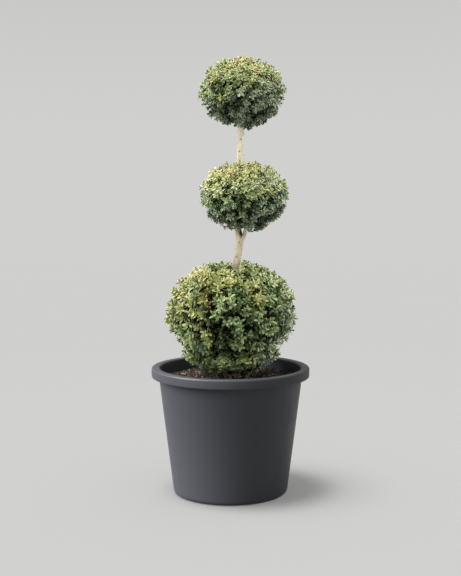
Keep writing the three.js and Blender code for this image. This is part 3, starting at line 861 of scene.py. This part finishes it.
def growShoots(ball, shoots, twigEnd):
    # a shoot bends out of its twig, then runs straight to the tip
    start, bend = twigEnd[nearest(shoots["foot"], twigEnd)], shoots["foot"]
    end = shoots["tip"] - shoots["axis"] * (wood["shootEnd"] * ball["leaf"])
    steps = np.linspace(0, 1, wood["shootSteps"])
    curve = [start * (1 - t) ** 2 + bend * 2 * t * (1 - t) + end * t ** 2 for t in steps] + [shoots["tip"]]
    first, last, tip = wood["shootGirth"]
    girth = np.append(np.linspace(first, last, wood["shootSteps"]), tip)
    return joined([tubes(curve[i], curve[i + 1], girth[i], girth[i + 1]) for i in range(len(curve) - 1)])


leafMats = [
    grainMaterial(f"leaf_{name}_{i + 1}", srgb(*color), foliage["specular"][i], foliage["finish"])
    for name, colors in foliage["tints"].items() for i, color in enumerate(colors)]
leafMats.append(grainMaterial("leaf_tan", srgb(*foliage["tan"]), foliage["tanSpecular"], foliage["finish"]))
twigMat = barkMaterial("twigBark", wood["twigPale"], wood["twigTan"])
shootMat = grainMaterial("greenShoot", wood["shootColor"], wood["shootSpecular"], wood["shootFinish"])
for name, ball in balls.items():
    rng = np.random.default_rng(ball["leafSeed"])
    shoots = placeShoots(ball, rng)
    blades = growLeaves(ball, shoots, *dealTones(ball, shoots, rng), rng)
    outer = blades["layer"] == 0
    for word, part, outline, faces in (
            ("_leaves", outer, leafPoints, leafFaces), ("_inner_leaves", ~outer, innerPoints, innerFaces)):
        chosen = {key: value[part] for key, value in blades.items()}
        points, triangles, tints = leafMesh(ball, chosen, outline, faces, rng)
        fitTo(meshPiece(name + word, points, triangles, leafMats, tints), "foliage", name)
    (points, quads), twigEnd = growBoughs(ball, rng)
    fitTo(meshPiece(name + "_boughs", points, quads, [twigMat]), "bark", name)
    points, quads = growShoots(ball, shoots, twigEnd)
    fitTo(meshPiece(name + "_twigs", points, quads, [shootMat]), "foliage", name)
    print(name, "leaves", len(blades["size"]), "shoots", len(shoots["tip"]))


# the stage: pale floor, open backdrop of the same shade, soft light from above and the left
plantWords = ("lower", "middle", "upper")
limbWords = ("trunk", "bough", "basal")
stage = {
    # the far floor is a shade deeper, and its edge fades into the backdrop
    "floor": [(0.0, (0.15, 0.15, 0.1485)), (1.0, (0.1465, 0.1465, 0.1448))], "floorRun": (0.8, 2.5),
    "floorReach": 15, "floorSides": 96, "floorFade": (5, 14), "floorRoughness": 0.9,
    # backdrop by the height of the view above level
    "backdrop": [(0.05, (0.631, 0.631, 0.619)), (0.095, (0.617, 0.617, 0.606)),
                 (0.16, (0.585, 0.585, 0.575)), (0.4, (0.63, 0.63, 0.618))],
    # energy, angle in degrees, where each light comes from and what it falls on
    "lights": {
        "key": (2.6, 40, (-0.35, 0.0, 1.0), ("pot", "compost")),
        "plantKey": (2.2, 40, (-0.35, 0.0, 1.0), plantWords),
        "floorNear": (3.6, 18, (-0.17, -0.09, 1.0), ("floor",)),
        "floorFar": (3.4, 34, (-0.4, -0.12, 1.0), ("floor",)),
        "floorFill": (4.8, 60, (0.0, 0.0, 1.0), ("floor",)),
        "potLeft": (16.8, 40, (-1.0, -0.22, 0.66), ("pot",)),
        "potGlint": (9.0, 16, (-1.0, -0.15, 0.9), ("pot",)),
        "potRight": (0.7, 60, (1.0, -0.7, 0.9), ("pot",)),
        "soilLeft": (3.4, 40, (-1.0, -0.35, 0.75), ("compost",)),
        "plantTop": (2.5, 100, (0.4, 0.0, 1.0), plantWords),
        "plantLeft": (5.8, 90, (-1.0, 0.22, 0.35), plantWords),
        "plantRight": (3.3, 90, (1.0, 0.22, 0.45), plantWords),
        "middleTop": (2.9, 60, (-0.2, 0.25, 1.0), ("middle",)),
        "limbFront": (1.25, 100, (-0.25, -1.0, 0.5), limbWords),
        "limbLeft": (2.6, 90, (-1.0, 0.1, 0.4), limbWords),
        "limbRight": (2.0, 90, (1.0, 0.1, 0.4), limbWords),
    },
    # what casts a light's shadows, where that isn't everything
    "shadowOf": {
        "floorNear": ("pot",), "floorFar": ("pot",), "floorFill": ("floor",), "potRight": ("pot",),
        "middleTop": ("middle",)},
    "matte": ("potLeft", "potRight"), "glint": ("potGlint",),  # lights without gloss, and with gloss alone
}
view = {"lens": 68.75, "sensor": 36, "place": (0, -2.762, 0.785), "tilt": 0.095}


def floorMaterial():
    material, tree, shader = newMaterial("paleFloor", stage["floor"][0][1], stage["floorRoughness"], 0.0)
    away = distanceTo(tree, objectPlace(tree), (0, 0, 0))
    tone = addRamp(tree, addRange(tree, away, *stage["floorRun"]), stage["floor"])
    tree.links.new(tone, shader.inputs["Base Color"])
    tree.links.new(addRange(tree, away, *stage["floorFade"], 1.0, 0.0), shader.inputs["Alpha"])
    return material


def openBackdrop():
    world = bpy.data.worlds.new("studio")
    world.use_nodes = True
    tree = world.node_tree
    place = tree.nodes.new("ShaderNodeTexCoord").outputs["Generated"]
    tone = addRamp(tree, heightOf(tree, place), stage["backdrop"])
    tree.links.new(tone, tree.nodes["Background"].inputs["Color"])
    bpy.context.scene.world = world


def softSun(name, energy, angle, comesFrom):
    light = bpy.data.lights.new(name, "SUN")
    light.energy = energy
    light.angle = math.radians(angle)
    piece = bpy.data.objects.new(name, light)
    piece.rotation_euler = Vector(comesFrom).to_track_quat("Z", "Y").to_euler()
    bpy.context.scene.collection.objects.link(piece)
    return piece


def piecesOf(name, groups):
    # pieces by the first word of their name
    found = bpy.data.collections.new(name)
    for piece in list(bpy.context.scene.collection.all_objects):
        if piece.type == "MESH" and piece.name.split("_")[0] in groups:
            found.objects.link(piece)
    return found


turns = ringAngles(stage["floorSides"])
points = stage["floorReach"] * np.stack([np.cos(turns), np.sin(turns), 0 * turns], -1)
floor = meshPiece("floor", points, [tuple(range(len(turns)))], [floorMaterial()], None, False)
openBackdrop()
for name, (energy, angle, comesFrom, groups) in stage["lights"].items():
    light = softSun(name, energy, angle, comesFrom)
    light.visible_glossy = name not in stage["matte"]
    light.visible_diffuse = name not in stage["glint"]
    light.light_linking.receiver_collection = piecesOf(name + "Lit", groups)
    if name in stage["shadowOf"]:
        light.light_linking.blocker_collection = piecesOf(name + "Shadow", stage["shadowOf"][name])

lens = bpy.data.cameras.new("view")
lens.lens = view["lens"]
lens.sensor_width = view["sensor"]
camera = bpy.data.objects.new("view", lens)
camera.location = view["place"]
camera.rotation_euler = (quarter - view["tilt"], 0, 0)
bpy.context.scene.collection.objects.link(camera)
bpy.context.scene.camera = camera
bpy.context.scene.view_settings.view_transform = "Standard"
print("stage and camera set")
